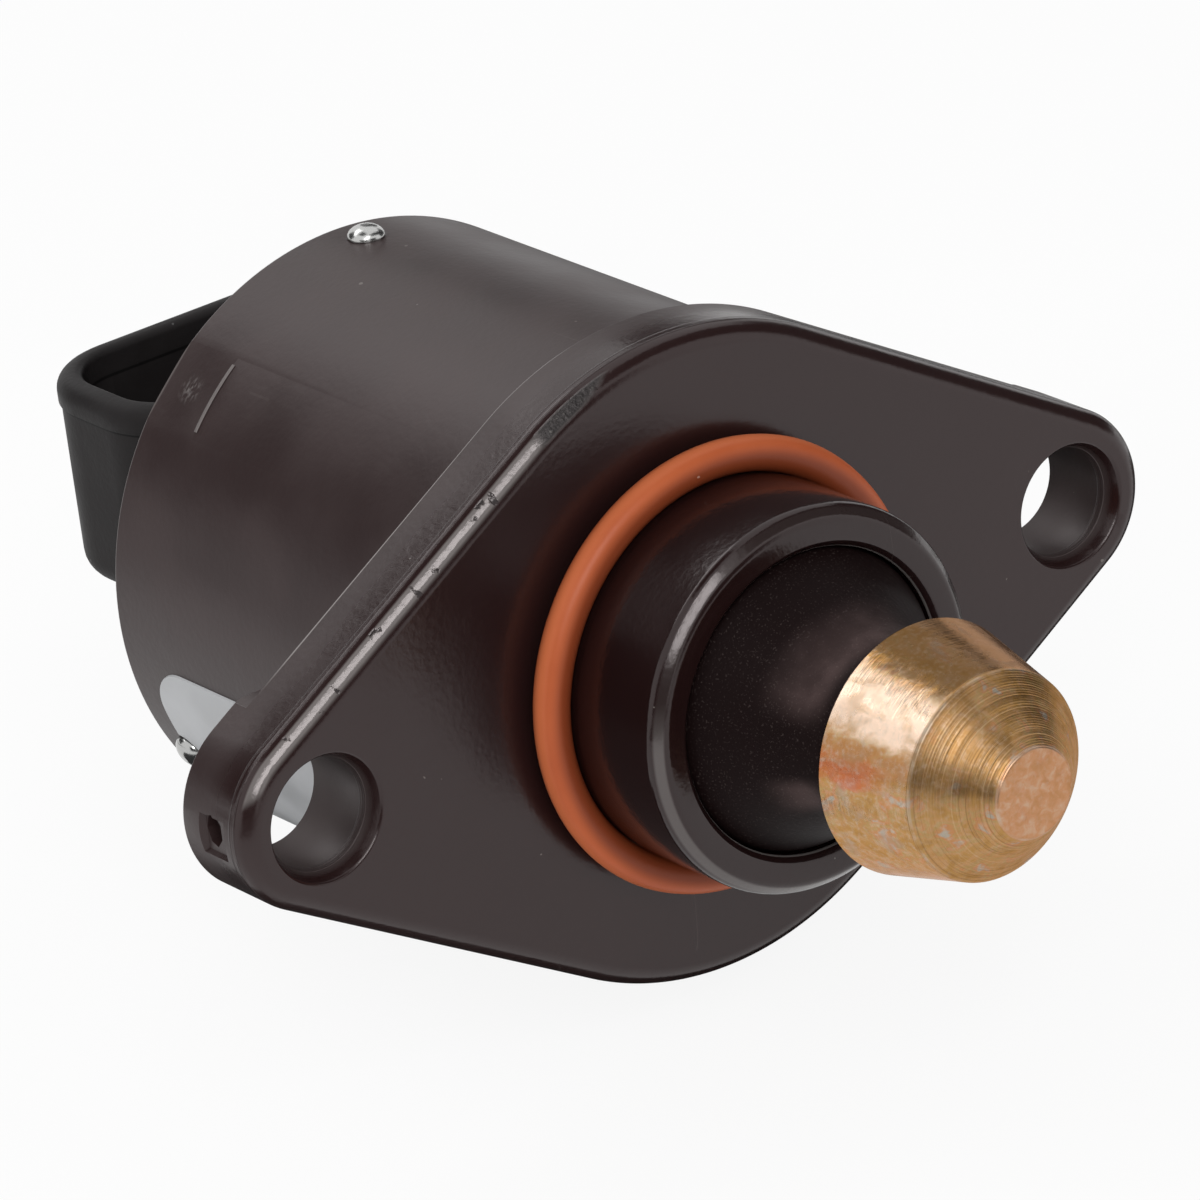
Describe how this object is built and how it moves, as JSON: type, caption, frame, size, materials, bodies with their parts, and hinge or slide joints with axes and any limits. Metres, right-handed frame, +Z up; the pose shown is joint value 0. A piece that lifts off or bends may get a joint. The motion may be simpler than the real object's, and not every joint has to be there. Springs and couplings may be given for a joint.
{
  "type": "idle air control valve",
  "caption": "Flange-mounted idle air control valve: a stepper motor in a moulded barrel drives a tapered pintle through a nose spigot, with an upright plug socket at the rear.",
  "frame": {"origin": "centre of the flange's mounting face, on the valve axis", "axes": "+X along the two bolt holes, -Y along the valve axis towards the pintle's tip, +Z up, the way the plug socket opens"},
  "size_m": [0.0604, 0.0724, 0.0362],
  "materials": {
    "housing_plastic": "satin glass-filled moulding",
    "cap_plastic": "matt black moulding",
    "seal_rubber": "orange-brown seal",
    "yellow_zinc": "turned steel with yellow zinc plating",
    "boot_rubber": "dusty black rubber",
    "bright_steel": "bright steel",
    "label_film": "bare white film",
    "tinned_brass": "tin plated brass",
    "pole_steel": "pressed pole steel",
    "coil_copper": "enamelled copper winding",
    "natural_plastic": "natural moulding",
    "ferrite": "bonded magnet",
    "bronze": "sintered bronze"
  },
  "bodies": {
    "valve_body": {"housing": "housing_plastic", "connector_cap": "cap_plastic", "nose_seal": "seal_rubber", "dust_boot": "boot_rubber", "cap_seal": "boot_rubber", "retaining_pin_1": "bright_steel", "retaining_pin_2": "bright_steel", "retaining_pin_3": "bright_steel", "preload_spring": "bright_steel", "preload_washer": "bright_steel", "bearing_outer_race": "bright_steel", "bearing_balls": "bright_steel", "label": "label_film", "terminal_1": "tinned_brass", "terminal_2": "tinned_brass", "terminal_3": "tinned_brass", "terminal_4": "tinned_brass", "front_stator_cup": "pole_steel", "front_stator_plate": "pole_steel", "rear_stator_plate": "pole_steel", "rear_stator_cup": "pole_steel", "front_winding": "coil_copper", "rear_winding": "coil_copper", "front_bobbin": "natural_plastic", "rear_bobbin": "natural_plastic", "bearing_cage": "natural_plastic", "front_bush": "bronze"},
    "rotor": {"rotor_hub": "natural_plastic", "rotor_magnet": "ferrite", "bearing_inner_race": "bright_steel"},
    "pintle_stem": {"pintle": "yellow_zinc", "lead_screw": "bright_steel"}
  },
  "joints": [
    {"name": "rotor_spin", "type": "hinge", "parent": "valve_body", "child": "rotor", "pos_m": [0, 0, 0], "axis": [0, -1, 0], "range_deg": [-2880, 540]},
    {"name": "pintle_slide", "type": "slide", "parent": "valve_body", "child": "pintle_stem", "axis": [0, -1, 0], "range_m": [-0.008, 0.0015], "deforming": ["dust_boot", "preload_spring"]}
  ],
  "couplings": [
    {"joint": "pintle_slide", "follows": "rotor_spin", "m_per_rad": 0.00015915}
  ]
}
